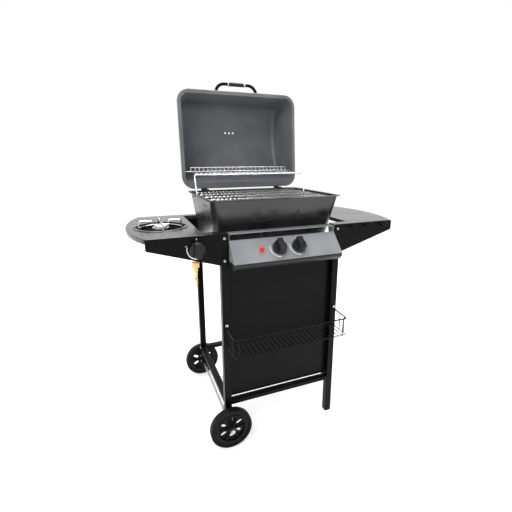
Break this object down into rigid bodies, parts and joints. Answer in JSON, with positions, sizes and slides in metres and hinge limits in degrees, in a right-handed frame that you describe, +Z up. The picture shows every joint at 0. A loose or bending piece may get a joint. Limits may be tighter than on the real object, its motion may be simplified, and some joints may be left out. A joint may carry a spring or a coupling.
{
  "type": "gas barbecue grill",
  "caption": "Gas barbecue grill on an open tube-frame cart, with deep hinged lid, side burner, side shelf, warming rack, wire basket and wheels.",
  "frame": {"origin": "centre of the bounding box at the floor", "axes": "+X to the right of someone facing the controls, +Y to the back, +Z up"},
  "size_m": [0.9998, 0.72, 1.3278],
  "materials": {
    "black_coat": "semi-gloss powder coat",
    "panel_coat": "satin paint",
    "black_plastic": "fine moulded grain",
    "black_tube": "gloss powder coat",
    "chrome_wire": "bright plated",
    "zinc": "dull plated",
    "cast_head": "cast and wiped",
    "brass": "machined",
    "red_plastic": "moulded"
  },
  "bodies": {
    "cart": {"axle": "zinc", "axle_nuts": "zinc", "basket": "black_coat", "burner_left": "zinc", "burner_right": "zinc", "control_panel": "panel_coat", "cooking_grate": "chrome_wire", "firebox": "black_coat", "flame_tamers": "zinc", "foot_plugs": "black_plastic", "frame_bolts": "zinc", "front_panel": "black_coat", "gas_inlet": "brass", "grate_ledges": "black_coat", "hinge_brackets": "black_coat", "hinge_pins": "zinc", "igniter_body": "chrome_wire", "left_fascia": "black_coat", "left_shelf": "black_coat", "leg_front_left": "black_coat", "leg_front_right": "black_coat", "leg_rear_left": "black_coat", "leg_rear_right": "black_coat", "manifold": "zinc", "pan_support": "chrome_wire", "rail_low_front": "black_coat", "rail_low_rear": "black_coat", "rails_high": "black_coat", "rails_low_side": "black_coat", "right_fascia": "black_coat", "right_shelf": "black_coat", "shelf_rear_brackets": "black_coat", "shelf_screws": "zinc", "side_bowl": "black_coat", "side_burner_head": "cast_head", "side_burner_tube": "zinc", "side_valve": "brass", "tool_hooks": "black_tube", "tray_runners": "black_coat", "valve_bodies": "brass"},
    "lid": {"lid_shell": "black_coat", "handle_tube": "black_tube", "handle_grip": "black_plastic", "handle_collars": "chrome_wire", "hinge_straps": "black_coat", "hinge_screws": "zinc"},
    "bail": {"rack_bail": "chrome_wire"},
    "rack": {"warming_rack": "chrome_wire"},
    "wheel_front_body": {"wheel_front": "black_plastic"},
    "wheel_rear_body": {"wheel_rear": "black_plastic"},
    "push_left": {"stem_left": "zinc"},
    "push_right": {"stem_right": "zinc"},
    "push_side": {"stem_side": "zinc"},
    "turn_left": {"knob_left": "black_plastic"},
    "turn_right": {"knob_right": "black_plastic"},
    "turn_side": {"knob_side": "black_plastic"},
    "igniter": {"igniter_button": "red_plastic"},
    "tray": {"drip_tray": "zinc"}
  },
  "joints": [
    {"name": "lid_hinge", "type": "hinge", "parent": "cart", "child": "lid", "pos_m": [0, 0.16127, 0.88], "axis": [1, 0, 0], "range_deg": [0, 94.5]},
    {"name": "bail_swing", "type": "hinge", "parent": "cart", "child": "bail", "pos_m": [0, 0.02627, 0.872], "axis": [1, 0, 0], "range_deg": [0, 94.5]},
    {"name": "rack_swing", "type": "hinge", "parent": "bail", "child": "rack", "pos_m": [0, 0.06227, 0.95], "axis": [1, 0, 0], "range_deg": [-94.5, 0]},
    {"name": "wheel_front_spin", "type": "hinge", "parent": "cart", "child": "wheel_front_body", "pos_m": [-0.2115, -0.28873, 0.076], "axis": [0, 1, 0], "continuous": true},
    {"name": "wheel_rear_spin", "type": "hinge", "parent": "cart", "child": "wheel_rear_body", "pos_m": [-0.2115, 0.17927, 0.076], "axis": [0, 1, 0], "continuous": true},
    {"name": "push_left_travel", "type": "slide", "parent": "cart", "child": "push_left", "axis": [0, 0.7295, -0.6839], "range_m": [0, 0.003], "stiffness_N_per_m": 400, "springref_m": -0.006},
    {"name": "knob_left_turn", "type": "hinge", "parent": "push_left", "child": "turn_left", "pos_m": [-0.033, -0.29873, 0.726], "axis": [0, -0.7295, 0.6839], "range_deg": [0, 225]},
    {"name": "push_right_travel", "type": "slide", "parent": "cart", "child": "push_right", "axis": [0, 0.7295, -0.6839], "range_m": [0, 0.003], "stiffness_N_per_m": 400, "springref_m": -0.006},
    {"name": "knob_right_turn", "type": "hinge", "parent": "push_right", "child": "turn_right", "pos_m": [0.039, -0.29873, 0.726], "axis": [0, -0.7295, 0.6839], "range_deg": [0, 225]},
    {"name": "push_side_travel", "type": "slide", "parent": "cart", "child": "push_side", "axis": [0, 1, 0], "range_m": [0, 0.003], "stiffness_N_per_m": 400, "springref_m": -0.006},
    {"name": "knob_side_turn", "type": "hinge", "parent": "push_side", "child": "turn_side", "pos_m": [-0.3, -0.27073, 0.742], "axis": [0, -1, 0], "range_deg": [0, 225]},
    {"name": "igniter_press", "type": "slide", "parent": "cart", "child": "igniter", "axis": [0, 0.7295, -0.6839], "range_m": [0, 0.004], "stiffness_N_per_m": 400, "springref_m": -0.006},
    {"name": "tray_slide", "type": "slide", "parent": "cart", "child": "tray", "axis": [0, 1, 0], "range_m": [0, 0.3]}
  ],
  "couplings": [
    {"joint": "bail_swing", "follows": "lid_hinge", "ratio": 1},
    {"joint": "rack_swing", "follows": "lid_hinge", "ratio": -1}
  ]
}
